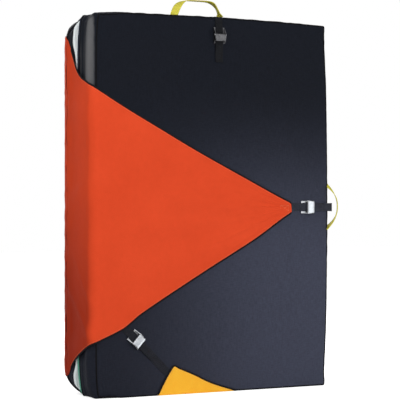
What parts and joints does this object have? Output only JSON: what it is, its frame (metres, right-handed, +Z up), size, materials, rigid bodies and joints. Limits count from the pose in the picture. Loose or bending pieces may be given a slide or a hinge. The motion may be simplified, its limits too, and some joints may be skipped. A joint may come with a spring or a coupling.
{
  "type": "bouldering crash pad",
  "caption": "Folding bouldering crash pad, closed for carrying: two foam-filled halves under a wrap-round closing flap, with cam buckles, webbing handles and back straps.",
  "frame": {"origin": "on the floor, at the middle of the folded pad's width and on the plane where its halves meet", "axes": "+Z up, +X to the right seen from the front, +Y from the front to the back"},
  "size_m": [0.8586, 0.2942, 1.1657],
  "materials": {
    "cover_cloth": "woven, coated back",
    "landing_cloth": "woven",
    "soft_foam": "open cell foam",
    "firm_foam": "closed cell foam",
    "flap_cloth": "woven, coated back",
    "anchor_cloth": "woven, coated back",
    "webbing": "woven webbing",
    "handle_webbing": "woven webbing",
    "buckle_metal": "brushed",
    "pin_metal": "brushed",
    "strap_padding": "woven over foam",
    "buckle_plastic": "moulded"
  },
  "bodies": {
    "back_half": {"back_cover": "cover_cloth", "back_firm_foam": "firm_foam", "back_soft_foam": "soft_foam", "back_landing_panel": "landing_cloth", "back_hinge_cloth": "cover_cloth", "flap_sewn_strip": "flap_cloth", "top_strap": "webbing", "shoulder_strap_left": "strap_padding", "shoulder_strap_right": "strap_padding", "strap_slider_left": "buckle_plastic", "strap_slider_right": "buckle_plastic", "strap_webbing_left": "webbing", "strap_webbing_right": "webbing"},
    "front_half": {"front_cover": "cover_cloth", "front_firm_foam": "firm_foam", "front_soft_foam": "soft_foam", "front_landing_panel": "landing_cloth", "front_hinge_cloth": "cover_cloth", "side_buckle_frame": "buckle_metal", "side_buckle_pin": "pin_metal", "side_buckle_strap": "webbing", "top_buckle_frame": "buckle_metal", "top_buckle_pin": "pin_metal", "top_buckle_tab": "webbing", "top_handle": "handle_webbing"},
    "flap_side": {"flap_side_panel": "flap_cloth"},
    "flap_front": {"flap_front_panel": "flap_cloth", "flap_tip_webbing": "webbing", "flap_lower_webbing": "webbing"},
    "anchor_flap": {"anchor_flap": "anchor_cloth", "lower_strap": "webbing", "lower_buckle_frame": "buckle_metal", "lower_buckle_pin": "pin_metal"},
    "side_lever": {"side_buckle_lever": "buckle_metal"},
    "top_lever": {"top_buckle_lever": "buckle_metal"},
    "lower_lever": {"lower_buckle_lever": "buckle_metal"},
    "side_handle": {"side_handle": "handle_webbing"},
    "belt_left": {"belt_wing_left": "strap_padding", "belt_webbing_left": "webbing", "belt_buckle_plug": "buckle_plastic"},
    "belt_right": {"belt_wing_right": "strap_padding", "belt_webbing_right": "webbing", "belt_buckle_socket": "buckle_plastic"}
  },
  "joints": [
    {"name": "fold", "type": "hinge", "parent": "back_half", "child": "front_half", "pos_m": [0.4121, 0, 0], "axis": [0, 0, 1], "range_deg": [0, 180], "deforming": ["flap_front_panel", "flap_side_panel", "flap_tip_webbing", "flap_lower_webbing", "top_strap"]},
    {"name": "flap_side_swing", "type": "hinge", "parent": "back_half", "child": "flap_side", "pos_m": [-0.40598, 0.063, 0], "axis": [0, 0, -1], "range_deg": [0, 110]},
    {"name": "flap_front_swing", "type": "hinge", "parent": "flap_side", "child": "flap_front", "pos_m": [-0.41007, -0.10585, 0], "axis": [0, 0, -1], "range_deg": [0, 90]},
    {"name": "anchor_flap_swing", "type": "hinge", "parent": "front_half", "child": "anchor_flap", "pos_m": [-0.067, -0.1206, 0.0125], "axis": [1, 0, 0], "range_deg": [0, 80]},
    {"name": "side_lever_turn", "type": "hinge", "parent": "front_half", "child": "side_lever", "pos_m": [0.32916, -0.12942, 0.55249], "axis": [0, 0.0001, -1], "range_deg": [0, 60]},
    {"name": "top_lever_turn", "type": "hinge", "parent": "front_half", "child": "top_lever", "pos_m": [0.0075, -0.12873, 1.06663], "axis": [-1, -0.0001, 0], "range_deg": [0, 60]},
    {"name": "lower_lever_turn", "type": "hinge", "parent": "anchor_flap", "child": "lower_lever", "pos_m": [-0.2798, -0.1291, 0.16812], "axis": [-0.682, 0.0086, -0.7313], "range_deg": [0, 60]},
    {"name": "side_handle_swing", "type": "hinge", "parent": "front_half", "child": "side_handle", "pos_m": [0.40735, -0.11255, 0.5545], "axis": [0, 0, -1], "range_deg": [-20, 30]},
    {"name": "belt_left_swing", "type": "hinge", "parent": "back_half", "child": "belt_left", "pos_m": [-0.27, 0.1195, 0.225], "axis": [0, 0, 1], "range_deg": [0, 85]},
    {"name": "belt_right_swing", "type": "hinge", "parent": "back_half", "child": "belt_right", "pos_m": [0.27, 0.1195, 0.225], "axis": [0, 0, -1], "range_deg": [0, 85]}
  ]
}
